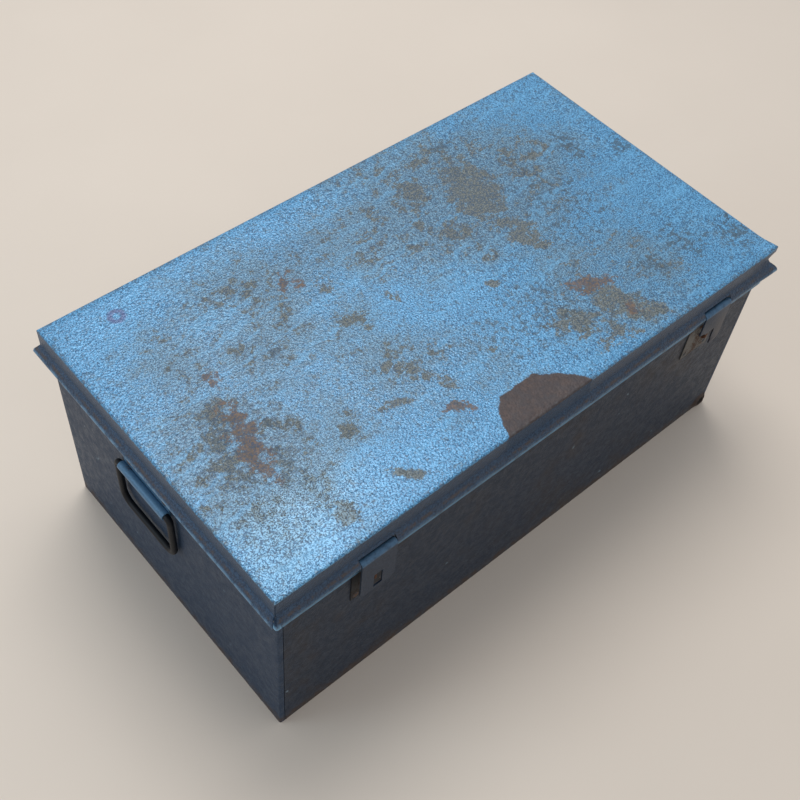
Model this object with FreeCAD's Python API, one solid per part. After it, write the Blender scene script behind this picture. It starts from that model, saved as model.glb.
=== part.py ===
"""Long steel tool box with a wired-edge lid, two hasps, two drop handles and a sliding tote tray.

Millimetres. X runs along the length, Y from front to back, Z up. The origin is on the floor, under
the middle of the body. The hasps are on the front (-Y) wall, the hinges on the rear (+Y) wall.
"""
import FreeCAD, Part
import math
import os

V = FreeCAD.Vector

# Overall sizes
LID_LENGTH = 672.0
LID_WIDTH = 372.4
HEIGHT = 269.2
SHEET = 1.0

# Lid: a flat top, a skirt folded down, and a flared edge curled round a steel wire
LID_DEPTH = 35.2
TOP_BEND = 2.0
FLARE_DROP = 22.0
RIM_OVERHANG = 6.4
WIRE_RADIUS = 2.4
CURL_CLEARANCE = 0.05
SKIRT_SEAM = 0.6
RIM_SEAM = 2.4
CURL_GAP = 1.2
FLARE_ANGLE = 30.0
WIRE_END_GAP = 1.0

# Body: four wall panels with a pressed swage and a hemmed top edge, and a flanged floor
BODY_INSET_X = 5.4
BODY_INSET_Y = 4.9
LID_SEAT_GAP = 0.6
SWAGE_DROP = 17.0
SWAGE_HALF = 6.5
SWAGE_PROUD = 4.2
HEM_DEPTH = 10.0
CORNER_FLANGE = 14.0
CORNER_FLANGE_TOP_GAP = 2.0
FLOOR_FLANGE = 12.0
FLANGE_GAP = 0.5

# Hasps: a strap that turns on the bare lid wire, over a staple on a riveted plate
HASP_CENTRES = {"left": -226.0, "right": 243.0}
HASP_WIDTH = 41.0
HASP_LENGTH = 56.0
HASP_THICK = 1.6
PIVOT_CLEARANCE = 0.06
NOTCH_SIDE_GAP = 0.8
NOTCH_RISE = 7.5
SLOT_WIDTH = 10.0
SLOT_MARGIN = 2.6
STAPLE_DROP = 40.5
STAPLE_HEIGHT = 16.0
STAPLE_ROD = 3.2
STAPLE_STRAP_GAP = 1.0
PLATE_WIDTH = 44.0
PLATE_ABOVE = 11.0
PLATE_BELOW = 34.0
PLATE_THICK = 1.2
PLATE_RIVET_EDGE = 6.0
HASP_CORNER = 6.8
NOTCH_WALL_GAP = 2.0

# Rear hinges: cranked leaves that wrap the lid's rear wire
HINGE_CENTRES = {"left": -215.0, "right": 215.0}
HINGE_WIDTH = 41.0
HINGE_THICK = 1.5
HINGE_STEP_DROP = 34.0
HINGE_FOOT = 8.0

# Drop handles on both ends
BAIL_OFFSET_Y = 20.0
BAIL_PIVOT_DROP = 79.0
BAIL_WIDTH = 95.0
BAIL_DROP = 68.0
BAIL_ROD = 7.0
BAIL_STANDOFF = 5.2
BAIL_TOP_BEND = 5.0
BAIL_LOW_BEND = 14.0
BAIL_END_GAP = 8.0
RETAINER_LENGTH = 75.0
RETAINER_HEIGHT = 30.0
RETAINER_WALL = 1.2
RETAINER_RIVET_EDGE_Y = 8.0
RETAINER_RIVET_EDGE_Z = 5.0

# Lid stay: a slotted arm hung from the lid that slides on a stud in the right end wall
LID_OPEN_ANGLE = 100.0
STAY_RADIUS = 115.0
STAY_PIVOT_RISE = 20.0
STAY_STUD_DROP = 60.0
STAY_WIDTH = 14.0
STAY_THICK = 2.0
STAY_SLOT_WIDTH = 6.6
STAY_STUD_RADIUS = 3.0
STAY_HEAD_RADIUS = 5.5
STAY_HEAD_THICK = 1.6
STAY_FROM_WALL = 7.0
STAY_END = 10.0
STAY_SIDE_GAP = 0.4
STAY_RIVET_RADIUS = 2.5
STAY_TAIL_RADIUS = 4.5
BRACKET_WIDTH = 16.0
BRACKET_BELOW = 7.0
BRACKET_FOOT = 34.0
BRACKET_FOOT_DEPTH = 13.0

# Tote tray on two ledges
LEDGE_DROP = 82.2
LEDGE_LEG = 13.5
LEDGE_SHELF = 14.0
LEDGE_THICK = 1.5
LEDGE_END_GAP = 17.0
TRAY_LENGTH = 400.0
TRAY_DEPTH = 50.0
TRAY_SHEET = 0.8
TRAY_SIDE_GAP = 1.0
TRAY_END_GAP = 6.0
TRAY_STAY_GAP = 1.0
TRAY_LIFT = 0.3
TRAY_HEM = 7.0
DIVIDER_DROP = 6.0
DIVIDER_FOOT = 8.0
CROSS_DIVIDERS = {"front": -70.0, "rear": 60.0}
TRAY_GRIP_LENGTH = 130.0
TRAY_GRIP_ROD = 7.0
TRAY_GRIP_LID_GAP = 2.4
TRAY_GRIP_GRAB = 30.0
TRAY_GRIP_BEND = 12.0

# Rivets
RIVET_RADIUS = 2.0
RIVET_HEAD_RADIUS = 3.6
RIVET_HEAD = 1.0
RIVET_TAIL = 0.8
RIVET_LEDGE_GAP = 2.5

# How far cutting shapes run past the metal they cut, and folded sides past their corners
PAST = 1.0
MITRE_REACH = 25.0

# Worked out from the sizes above
LID_X = LID_LENGTH / 2
LID_Y = LID_WIDTH / 2
BODY_X = LID_X - BODY_INSET_X
BODY_Y = LID_Y - BODY_INSET_Y
CURL_INNER = WIRE_RADIUS + CURL_CLEARANCE
CURL_OUTER = CURL_INNER + SHEET
WIRE_OUT = RIM_OVERHANG - CURL_OUTER
RIM_BOTTOM = HEIGHT - LID_DEPTH
WIRE_Z = RIM_BOTTOM + CURL_OUTER
FLARE_Z = HEIGHT - FLARE_DROP
WIRE_Y = LID_Y + WIRE_OUT
WIRE_X = LID_X + WIRE_OUT
WALL_TOP = HEIGHT - SHEET - LID_SEAT_GAP
SWAGE_Z = RIM_BOTTOM - SWAGE_DROP
NOTCH_TOP = WIRE_Z + NOTCH_RISE
HASP_INNER = WIRE_RADIUS + PIVOT_CLEARANCE
HASP_OUTER = HASP_INNER + HASP_THICK
HASP_BACK_Y = -WIRE_Y - HASP_INNER
STAPLE_Z = WIRE_Z - STAPLE_DROP
STAPLE_NOSE_Y = HASP_BACK_Y + STAPLE_STRAP_GAP
BAIL_Z = HEIGHT - BAIL_PIVOT_DROP
BAIL_LEG = BAIL_WIDTH / 2 - BAIL_ROD / 2
BAIL_LOW = BAIL_DROP - BAIL_ROD / 2
STAY_X = BODY_X - SHEET - STAY_FROM_WALL - STAY_THICK
STAY_PIVOT_Y = WIRE_Y - math.sqrt(STAY_RADIUS ** 2 - STAY_PIVOT_RISE ** 2)
STAY_PIVOT_Z = WIRE_Z + STAY_PIVOT_RISE
STUD_Y = WIRE_Y - math.sqrt(STAY_RADIUS ** 2 - STAY_STUD_DROP ** 2)
STUD_Z = WIRE_Z - STAY_STUD_DROP
STUD_HEAD_X = STAY_X - STAY_SIDE_GAP - STAY_HEAD_THICK
LEDGE_TOP = HEIGHT - LEDGE_DROP
HINGE_ROW_HIGH = LEDGE_TOP + RIVET_HEAD_RADIUS + RIVET_LEDGE_GAP
HINGE_ROW_LOW = LEDGE_TOP - LEDGE_LEG - RIVET_HEAD_RADIUS - RIVET_LEDGE_GAP
HINGE_BOTTOM = HINGE_ROW_LOW - HINGE_FOOT
TRAY_X0 = -BODY_X + SHEET + TRAY_END_GAP
TRAY_X1 = TRAY_X0 + TRAY_LENGTH
TRAY_Y = BODY_Y - 2 * SHEET - TRAY_SIDE_GAP
TRAY_Z = LEDGE_TOP + TRAY_LIFT
TRAY_TOP = TRAY_Z + TRAY_DEPTH
TRAY_MID = (TRAY_X0 + TRAY_X1) / 2
TRAY_TRAVEL = math.floor(STUD_HEAD_X - STAY_SIDE_GAP - TRAY_X1 - TRAY_STAY_GAP)
DIVIDER_TOP = TRAY_TOP - DIVIDER_DROP
TRAY_GRIP_Z = HEIGHT - SHEET - TRAY_GRIP_LID_GAP - TRAY_GRIP_ROD / 2


def box(x0, x1, y0, y1, z0, z1):
    """A block between two corners."""
    return Part.makeBox(x1 - x0, y1 - y0, z1 - z0, V(x0, y0, z0))


def rod(radius, start, end):
    """A round bar between two points."""
    return Part.makeCylinder(radius, (end - start).Length, start, end - start)


def join(shapes):
    """One solid from shapes that overlap or touch."""
    first, rest = shapes[0], shapes[1:]
    return first.fuse(rest).removeSplitter() if rest else first


def spin(shape, degrees):
    """A copy turned about the vertical axis."""
    copy = shape.copy()
    copy.rotate(V(0, 0, 0), V(0, 0, 1), degrees)
    return copy


def prism(points, direction):
    """A solid with a polygon outline, extruded."""
    return Part.Face(Part.makePolygon(points + [points[0]])).extrude(direction)


def mitre(half_length, half_depth, gap, z0, z1):
    """The space that the front one of four sides may fill, cut back by gap at its 45 degree corners."""
    outer_x = half_length + MITRE_REACH - gap
    inner_x = half_length - MITRE_REACH - gap
    outer_y = -half_depth - MITRE_REACH
    inner_y = -half_depth + MITRE_REACH
    corners = [(-outer_x, outer_y), (outer_x, outer_y), (inner_x, inner_y), (-inner_x, inner_y)]
    return prism([V(x, y, z0) for x, y in corners], V(0, 0, z1 - z0))


def bent_rod(points, bends, radius):
    """A round bar along straight runs with a bend at each inner point."""
    edges = []
    start = points[0]
    for before, corner, after, bend in zip(points, points[1:], points[2:], bends):
        back = (before - corner).normalize()
        ahead = (after - corner).normalize()
        half = back.getAngle(ahead) / 2
        cut = bend / math.tan(half)
        middle = (back + ahead).normalize()
        centre = corner + middle * (bend / math.sin(half))
        enter = corner + back * cut
        leave = corner + ahead * cut
        edges.append(Part.LineSegment(start, enter).toShape())
        edges.append(Part.Arc(enter, centre - middle * bend, leave).toShape())
        start = leave
    edges.append(Part.LineSegment(start, points[-1]).toShape())
    path = Part.Wire(edges)
    circle = Part.Wire(Part.makeCircle(radius, points[0], points[1] - points[0]))
    return path.makePipeShell([circle], True, False)


def rivet(start, end):
    """A rivet through a joint: shank from start to end, domed head at start, flat tail at end."""
    along = (end - start).normalize()
    shank = rod(RIVET_RADIUS, start, end)
    ball_radius = (RIVET_HEAD_RADIUS ** 2 + RIVET_HEAD ** 2) / (2 * RIVET_HEAD)
    ball = Part.makeSphere(ball_radius, start + along * (ball_radius - RIVET_HEAD))
    head = ball.common(rod(RIVET_HEAD_RADIUS + PAST, start - along * (RIVET_HEAD + PAST), start))
    tail = rod(RIVET_HEAD_RADIUS, end, end + along * RIVET_TAIL)
    return join([shank, head, tail])


def drill(shape, spots, direction, depth):
    """The shape with a rivet hole at each spot."""
    for spot in spots:
        shape = shape.cut(rod(RIVET_RADIUS, spot - direction * depth, spot + direction * depth))
    return shape


# ---------------------------------------------------------------- lid

def lid_side(half_length, half_depth):
    """One folded side of the lid, as the front side: top bend, skirt, flare and curled edge."""
    y = -half_depth
    half = half_length + MITRE_REACH
    top = HEIGHT
    turn = math.cos(math.radians(45))
    bend_out = TOP_BEND
    bend_in = TOP_BEND - SHEET
    centre = V(-half, y + TOP_BEND, top - TOP_BEND)
    angle = math.radians(FLARE_ANGLE)
    wire = V(-half, y - WIRE_OUT, WIRE_Z)
    touch_out = wire + V(0, -CURL_OUTER * math.cos(angle), CURL_OUTER * math.sin(angle))
    touch_in = wire + V(0, -CURL_INNER * math.cos(angle), CURL_INNER * math.sin(angle))
    edges = [
        Part.LineSegment(V(-half, y, FLARE_Z), V(-half, y, top - TOP_BEND)),
        Part.Arc(V(-half, y, top - TOP_BEND), centre + V(0, -bend_out * turn, bend_out * turn),
                 V(-half, y + TOP_BEND, top)),
        Part.LineSegment(V(-half, y + TOP_BEND, top), V(-half, y + TOP_BEND, top - SHEET)),
        Part.Arc(V(-half, y + TOP_BEND, top - SHEET), centre + V(0, -bend_in * turn, bend_in * turn),
                 V(-half, y + SHEET, top - TOP_BEND)),
        Part.LineSegment(V(-half, y + SHEET, top - TOP_BEND), V(-half, y + SHEET, FLARE_Z)),
        Part.LineSegment(V(-half, y + SHEET, FLARE_Z), V(-half, y, FLARE_Z)),
    ]
    along = V(2 * half, 0, 0)
    skirt = Part.Face(Part.Wire([edge.toShape() for edge in edges])).extrude(along)
    flare = prism([V(-half, y, FLARE_Z), V(-half, y + SHEET, FLARE_Z), touch_in, touch_out], along)
    curl = rod(CURL_OUTER, wire, wire + along).cut(rod(CURL_INNER, wire, wire + along))
    slit = box(-half, half, y - WIRE_OUT, y - WIRE_OUT + 2 * CURL_OUTER, WIRE_Z - CURL_GAP, WIRE_Z)
    inside = rod(CURL_INNER, wire, wire + along)
    rim = join([flare.cut(inside), curl.cut(slit)])
    skirt = skirt.common(mitre(half_length, half_depth, SKIRT_SEAM / 2, FLARE_Z - PAST, top + PAST))
    rim = rim.common(mitre(half_length, half_depth, RIM_SEAM / 2, RIM_BOTTOM - PAST, FLARE_Z + PAST))
    return join([skirt, rim])


def notch(centre, width, front):
    """The cut in the lid's curled edge that bares the wire for a hasp or a hinge."""
    half = width / 2 + NOTCH_SIDE_GAP
    inner = LID_Y - SHEET - NOTCH_WALL_GAP
    outer = LID_Y + RIM_OVERHANG + PAST
    y0, y1 = (-outer, -inner) if front else (inner, outer)
    return box(centre - half, centre + half, y0, y1, RIM_BOTTOM - PAST, NOTCH_TOP)


def lid_shell():
    """The lid's single sheet, with the wire bared at the hasps and hinges."""
    front = lid_side(LID_X, LID_Y)
    end = lid_side(LID_Y, LID_X)
    flat_x = LID_X - TOP_BEND
    flat_y = LID_Y - TOP_BEND
    top = box(-flat_x, flat_x, -flat_y, flat_y, HEIGHT - SHEET, HEIGHT)
    shell = join([top, front, spin(front, 180), spin(end, 90), spin(end, -90)])
    for centre in HASP_CENTRES.values():
        shell = shell.cut(notch(centre, HASP_WIDTH, True))
    for centre in HINGE_CENTRES.values():
        shell = shell.cut(notch(centre, HINGE_WIDTH, False))
    return shell


def lid_wires():
    """The four wires in the lid's curled edge; the hasps and hinges turn on the front and rear ones."""
    end_x = LID_X - WIRE_END_GAP
    end_y = LID_Y - WIRE_END_GAP
    return {
        "lid_wire_front": rod(WIRE_RADIUS, V(-end_x, -WIRE_Y, WIRE_Z), V(end_x, -WIRE_Y, WIRE_Z)),
        "lid_wire_rear": rod(WIRE_RADIUS, V(-end_x, WIRE_Y, WIRE_Z), V(end_x, WIRE_Y, WIRE_Z)),
        "lid_wire_left": rod(WIRE_RADIUS, V(-WIRE_X, -end_y, WIRE_Z), V(-WIRE_X, end_y, WIRE_Z)),
        "lid_wire_right": rod(WIRE_RADIUS, V(WIRE_X, -end_y, WIRE_Z), V(WIRE_X, end_y, WIRE_Z)),
    }


# ---------------------------------------------------------------- body

def wall(half_length, half_depth):
    """One wall, as the front one: a flat panel with an outward swage and an inward hem."""
    outer = -half_depth
    inner = outer + SHEET
    hem = inner + SHEET
    proud = outer - SWAGE_PROUD
    half = half_length + MITRE_REACH
    low = SWAGE_Z - SWAGE_HALF
    high = SWAGE_Z + SWAGE_HALF
    hem_low = WALL_TOP - HEM_DEPTH
    edges = [
        Part.LineSegment(V(-half, outer, 0), V(-half, outer, low)),
        Part.Arc(V(-half, outer, low), V(-half, proud, SWAGE_Z), V(-half, outer, high)),
        Part.LineSegment(V(-half, outer, high), V(-half, outer, WALL_TOP)),
        Part.LineSegment(V(-half, outer, WALL_TOP), V(-half, hem, WALL_TOP)),
        Part.LineSegment(V(-half, hem, WALL_TOP), V(-half, hem, hem_low)),
        Part.LineSegment(V(-half, hem, hem_low), V(-half, inner, hem_low)),
        Part.LineSegment(V(-half, inner, hem_low), V(-half, inner, high)),
        Part.Arc(V(-half, inner, high), V(-half, proud + SHEET, SWAGE_Z), V(-half, inner, low)),
        Part.LineSegment(V(-half, inner, low), V(-half, inner, 0)),
        Part.LineSegment(V(-half, inner, 0), V(-half, outer, 0)),
    ]
    panel = Part.Face(Part.Wire([edge.toShape() for edge in edges])).extrude(V(2 * half, 0, 0))
    return panel.common(mitre(half_length, half_depth, 0.0, -PAST, HEIGHT))


def end_wall():
    """An end wall, as the front one, with a flange folded inwards along each upright edge."""
    face = BODY_Y - SHEET
    near = -BODY_X + SHEET
    far = near + CORNER_FLANGE
    low = FLOOR_FLANGE + FLANGE_GAP
    high = SWAGE_Z - SWAGE_HALF - CORNER_FLANGE_TOP_GAP
    left_flange = box(-face, -face + SHEET, near, far, low, high)
    right_flange = box(face - SHEET, face, near, far, low, high)
    return join([wall(BODY_Y, BODY_X), left_flange, right_flange])


def floor_panel():
    """The floor, with a low flange turned up all round inside the walls."""
    x = BODY_X - SHEET
    y = BODY_Y - SHEET
    outer = box(-x, x, -y, y, 0, FLOOR_FLANGE)
    return outer.cut(box(-x + SHEET, x - SHEET, -y + SHEET, y - SHEET, SHEET, FLOOR_FLANGE + PAST))


def ledge():
    """An angle strip on the front wall that carries the tray."""
    half = BODY_X - SHEET - LEDGE_END_GAP
    y = -BODY_Y + SHEET
    leg = box(-half, half, y, y + LEDGE_THICK, LEDGE_TOP - LEDGE_LEG, LEDGE_TOP)
    shelf = box(-half, half, y, y + LEDGE_SHELF, LEDGE_TOP - LEDGE_THICK, LEDGE_TOP)
    return join([leg, shelf])


# ---------------------------------------------------------------- hasps

def plate_rivet_spots(centre):
    """Rivet centres of a staple plate, on the outer face of the front wall."""
    out = PLATE_WIDTH / 2 - PLATE_RIVET_EDGE
    low = STAPLE_Z - PLATE_BELOW + PLATE_RIVET_EDGE
    return [V(centre - out, -BODY_Y, low), V(centre + out, -BODY_Y, low)]


def staple_plate(centre):
    """The plate behind a hasp, with holes for the staple's legs and the rivets."""
    half = PLATE_WIDTH / 2
    plate = box(centre - half, centre + half, -BODY_Y - PLATE_THICK, -BODY_Y,
                STAPLE_Z - PLATE_BELOW, STAPLE_Z + PLATE_ABOVE)
    plate = plate.cut(staple(centre))
    return drill(plate, plate_rivet_spots(centre), V(0, 1, 0), 2 * PLATE_THICK)


def staple(centre):
    """The padlock eye: a bent bar whose legs pass through the plate and the wall."""
    leg = STAPLE_HEIGHT / 2 - STAPLE_ROD / 2
    tail = -BODY_Y + SHEET + RIVET_TAIL
    nose = STAPLE_NOSE_Y + STAPLE_ROD / 2
    points = [
        V(centre, tail, STAPLE_Z - leg),
        V(centre, nose, STAPLE_Z - leg),
        V(centre, nose, STAPLE_Z + leg),
        V(centre, tail, STAPLE_Z + leg),
    ]
    return bent_rod(points, [STAPLE_ROD, STAPLE_ROD], STAPLE_ROD / 2)


def hasp_strap(centre):
    """The hasp: a knuckle round the lid wire and a slotted strap that hangs over the staple."""
    x0 = centre - HASP_WIDTH / 2
    x1 = centre + HASP_WIDTH / 2
    start = V(x0, -WIRE_Y, WIRE_Z)
    end = V(x1, -WIRE_Y, WIRE_Z)
    front = HASP_BACK_Y - HASP_THICK
    bottom = WIRE_Z - HASP_LENGTH
    strap = box(x0, x1, front, HASP_BACK_Y, bottom, WIRE_Z)
    across = box(x0, x1, front, HASP_BACK_Y, bottom, bottom + HASP_CORNER)
    rounded = join([
        box(x0 + HASP_CORNER, x1 - HASP_CORNER, front, HASP_BACK_Y, bottom, bottom + HASP_CORNER),
        rod(HASP_CORNER, V(x0 + HASP_CORNER, front, bottom + HASP_CORNER),
            V(x0 + HASP_CORNER, HASP_BACK_Y, bottom + HASP_CORNER)),
        rod(HASP_CORNER, V(x1 - HASP_CORNER, front, bottom + HASP_CORNER),
            V(x1 - HASP_CORNER, HASP_BACK_Y, bottom + HASP_CORNER)),
    ])
    strap = join([strap.cut(across), rounded.common(across)])
    slot_low = STAPLE_Z - STAPLE_HEIGHT / 2 - SLOT_MARGIN
    slot_high = STAPLE_Z + STAPLE_HEIGHT / 2 + SLOT_MARGIN
    slot = box(centre - SLOT_WIDTH / 2, centre + SLOT_WIDTH / 2, front - PAST, HASP_BACK_Y + PAST,
               slot_low, slot_high)
    knuckle = rod(HASP_OUTER, start, end)
    return join([knuckle, strap]).cut(rod(HASP_INNER, start, end)).cut(slot)


# ---------------------------------------------------------------- rear hinges

def hinge_rivet_spots(centre):
    """Rivet centres of a hinge leaf, on the outer face of the rear wall."""
    out = HINGE_WIDTH / 2 - HINGE_FOOT
    rows = (HINGE_ROW_HIGH, HINGE_ROW_LOW)
    return [V(centre + side * out, BODY_Y, z) for side in (-1, 1) for z in rows]


def hinge_leaf(centre):
    """A hinge: a knuckle round the rear lid wire, stepped in below the swage onto the rear wall."""
    x0 = centre - HINGE_WIDTH / 2
    x1 = centre + HINGE_WIDTH / 2
    start = V(x0, WIRE_Y, WIRE_Z)
    end = V(x1, WIRE_Y, WIRE_Z)
    inner = WIRE_RADIUS + PIVOT_CLEARANCE
    outer = inner + HINGE_THICK
    step = WIRE_Z - HINGE_STEP_DROP
    drop = box(x0, x1, WIRE_Y + inner, WIRE_Y + outer, step, WIRE_Z)
    shelf = box(x0, x1, BODY_Y, WIRE_Y + outer, step, step + HINGE_THICK)
    leaf = box(x0, x1, BODY_Y, BODY_Y + HINGE_THICK, HINGE_BOTTOM, step + HINGE_THICK)
    knuckle = rod(outer, start, end)
    hinge = join([knuckle, drop, shelf, leaf]).cut(rod(inner, start, end))
    return drill(hinge, hinge_rivet_spots(centre), V(0, 1, 0), 2 * HINGE_THICK)


# ---------------------------------------------------------------- drop handles

def retainer_rivet_spots():
    """Rivet centres of a handle retainer on the left end wall's outer face."""
    out_y = RETAINER_LENGTH / 2 - RETAINER_RIVET_EDGE_Y
    out_z = RETAINER_HEIGHT / 2 - RETAINER_RIVET_EDGE_Z
    return [V(-BODY_X, BAIL_OFFSET_Y + sy * out_y, BAIL_Z + sz * out_z)
            for sy in (-1, 1) for sz in (-1, 1)]


def retainer():
    """The left handle's retainer: a plate with a tube that the handle's ends turn in."""
    half = RETAINER_LENGTH / 2
    x = -BODY_X - BAIL_STANDOFF
    start = V(x, BAIL_OFFSET_Y - half, BAIL_Z)
    end = V(x, BAIL_OFFSET_Y + half, BAIL_Z)
    inner = BAIL_ROD / 2 + PIVOT_CLEARANCE
    tube = rod(inner + RETAINER_WALL, start, end)
    tall = RETAINER_HEIGHT / 2
    plate = box(-BODY_X - RETAINER_WALL, -BODY_X, BAIL_OFFSET_Y - half, BAIL_OFFSET_Y + half,
                BAIL_Z - tall, BAIL_Z + tall)
    behind = box(-BODY_X, -BODY_X + BAIL_STANDOFF, start.y, end.y, BAIL_Z - tall, BAIL_Z + tall)
    clip = join([plate, tube.cut(behind)]).cut(rod(inner, start, end))
    return drill(clip, retainer_rivet_spots(), V(1, 0, 0), 2 * RETAINER_WALL)


def bail():
    """The left handle: a bent bar with both ends turned in, hanging from its retainer."""
    x = -BODY_X - BAIL_STANDOFF
    y = BAIL_OFFSET_Y
    tip = BAIL_END_GAP / 2
    low = BAIL_Z - BAIL_LOW
    points = [
        V(x, y + tip, BAIL_Z),
        V(x, y + BAIL_LEG, BAIL_Z),
        V(x, y + BAIL_LEG, low),
        V(x, y - BAIL_LEG, low),
        V(x, y - BAIL_LEG, BAIL_Z),
        V(x, y - tip, BAIL_Z),
    ]
    bends = [BAIL_TOP_BEND, BAIL_LOW_BEND, BAIL_LOW_BEND, BAIL_TOP_BEND]
    return bent_rod(points, bends, BAIL_ROD / 2)


def to_right_end(shape):
    """A left end piece mirrored to the right end."""
    return shape.mirror(V(0, 0, 0), V(1, 0, 0))


# ---------------------------------------------------------------- lid stay

def chord(opened):
    """Distance from the lid pivot to the stud when the lid is open by an angle in degrees."""
    closed = math.asin(STAY_PIVOT_RISE / STAY_RADIUS) + math.asin(STAY_STUD_DROP / STAY_RADIUS)
    return 2 * STAY_RADIUS * math.sin((closed + math.radians(opened)) / 2)


def stay_arm():
    """The slotted arm, with its pivot hole at the lid and its slot over the stud."""
    shortest = chord(0)
    longest = chord(LID_OPEN_ANGLE)
    half = STAY_WIDTH / 2
    low = half - longest - STAY_END
    x0 = STAY_X
    x1 = STAY_X + STAY_THICK
    arm = join([
        box(x0, x1, -half, half, low, 0),
        rod(half, V(x0, 0, 0), V(x1, 0, 0)),
        rod(half, V(x0, 0, low), V(x1, 0, low)),
    ])
    slot_half = STAY_SLOT_WIDTH / 2
    slot = join([
        box(x0 - PAST, x1 + PAST, -slot_half, slot_half, -longest, -shortest),
        rod(slot_half, V(x0 - PAST, 0, -shortest), V(x1 + PAST, 0, -shortest)),
        rod(slot_half, V(x0 - PAST, 0, -longest), V(x1 + PAST, 0, -longest)),
    ])
    pivot = rod(STAY_RIVET_RADIUS + PIVOT_CLEARANCE, V(x0 - PAST, 0, 0), V(x1 + PAST, 0, 0))
    arm = arm.cut(slot).cut(pivot)
    lean = math.degrees(math.atan2(STUD_Y - STAY_PIVOT_Y, STAY_PIVOT_Z - STUD_Z))
    arm.rotate(V(0, 0, 0), V(1, 0, 0), lean)
    arm.translate(V(0, STAY_PIVOT_Y, STAY_PIVOT_Z))
    return arm


def stay_bracket():
    """An angle welded under the lid that carries the stay's pivot."""
    x0 = STAY_X + STAY_THICK + STAY_SIDE_GAP
    x1 = x0 + HINGE_THICK
    leg_half = BRACKET_WIDTH / 2
    foot_half = BRACKET_FOOT / 2
    under = HEIGHT - SHEET
    low = STAY_PIVOT_Z - BRACKET_BELOW
    leg = box(x0, x1, STAY_PIVOT_Y - leg_half, STAY_PIVOT_Y + leg_half, low, under)
    foot = box(x0 - BRACKET_FOOT_DEPTH, x1, STAY_PIVOT_Y - foot_half, STAY_PIVOT_Y + foot_half,
               under - HINGE_THICK, under)
    return join([leg, foot]).cut(stay_pivot_rivet())


def stay_pivot_rivet():
    """The shouldered rivet that the arm turns on, fixed in the bracket."""
    back = STAY_X + STAY_THICK + STAY_SIDE_GAP + HINGE_THICK
    head = STAY_X - STAY_SIDE_GAP
    centre = V(0, STAY_PIVOT_Y, STAY_PIVOT_Z)
    shank = rod(STAY_RIVET_RADIUS, centre + V(head, 0, 0), centre + V(back, 0, 0))
    cap = rod(STAY_HEAD_RADIUS, centre + V(head - STAY_HEAD_THICK, 0, 0), centre + V(head, 0, 0))
    tail = rod(STAY_TAIL_RADIUS, centre + V(back, 0, 0), centre + V(back + RIVET_TAIL, 0, 0))
    return join([shank, cap, tail])


def stay_stud():
    """The headed stud in the right end wall that the arm's slot slides on."""
    centre = V(0, STUD_Y, STUD_Z)
    wall_x = BODY_X - SHEET
    head = STAY_X - STAY_SIDE_GAP
    collar_x = STAY_X + STAY_THICK + STAY_SIDE_GAP
    shank = rod(STAY_STUD_RADIUS, centre + V(head, 0, 0), centre + V(wall_x, 0, 0))
    cap = rod(STAY_HEAD_RADIUS, centre + V(STUD_HEAD_X, 0, 0), centre + V(head, 0, 0))
    collar = rod(STAY_HEAD_RADIUS, centre + V(collar_x, 0, 0), centre + V(wall_x, 0, 0))
    return join([shank, cap, collar])


# ---------------------------------------------------------------- tote tray

def tray_pan():
    """The tray: an open pan of thinner sheet with a hem round its top."""
    pan = box(TRAY_X0, TRAY_X1, -TRAY_Y, TRAY_Y, TRAY_Z, TRAY_TOP)
    wall_t = TRAY_SHEET
    hem_t = 2 * TRAY_SHEET
    hem = TRAY_TOP - TRAY_HEM
    room = box(TRAY_X0 + wall_t, TRAY_X1 - wall_t, -TRAY_Y + wall_t, TRAY_Y - wall_t,
               TRAY_Z + wall_t, hem)
    mouth = box(TRAY_X0 + hem_t, TRAY_X1 - hem_t, -TRAY_Y + hem_t, TRAY_Y - hem_t,
                hem - PAST, TRAY_TOP + PAST)
    return pan.cut(room).cut(mouth)


def long_divider():
    """The divider down the tray's middle, with a folded foot."""
    t = TRAY_SHEET
    x0 = TRAY_X0 + 2 * t
    x1 = TRAY_X1 - 2 * t
    base = TRAY_Z + t
    web = box(x0, x1, -t / 2, t / 2, base, DIVIDER_TOP)
    foot = box(x0, x1, -t / 2, DIVIDER_FOOT, base, base + t)
    return join([web, foot])


def cross_divider(offset, front):
    """A divider across the front or rear half of the tray, with a folded foot."""
    t = TRAY_SHEET
    x = TRAY_MID + offset
    base = TRAY_Z + t
    y0, y1 = (-TRAY_Y + 2 * t, -t / 2) if front else (t / 2, TRAY_Y - 2 * t)
    web = box(x, x + t, y0, y1, base, DIVIDER_TOP)
    foot_y0 = y0 if front else DIVIDER_FOOT
    foot = box(x, x + DIVIDER_FOOT, foot_y0, y1, base, base + t)
    if not front:
        web = web.cut(box(x, x + t, t / 2, DIVIDER_FOOT, base, base + t))
    return join([web, foot])


def tray_grip():
    """The tray's carrying handle: a bent bar welded to the front face of the long divider."""
    radius = TRAY_GRIP_ROD / 2
    y = -TRAY_SHEET / 2 - radius
    half = TRAY_GRIP_LENGTH / 2 - radius
    low = DIVIDER_TOP - TRAY_GRIP_GRAB
    points = [
        V(TRAY_MID - half, y, low),
        V(TRAY_MID - half, y, TRAY_GRIP_Z),
        V(TRAY_MID + half, y, TRAY_GRIP_Z),
        V(TRAY_MID + half, y, low),
    ]
    return bent_rod(points, [TRAY_GRIP_BEND, TRAY_GRIP_BEND], radius)


# ---------------------------------------------------------------- rivets and holes in the walls

def wall_rivets(spots, outward, plate):
    """Rivets through a fitting's plate and the wall behind it, as one group."""
    return Part.makeCompound([rivet(spot + outward * plate, spot - outward * SHEET) for spot in spots])


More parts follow.
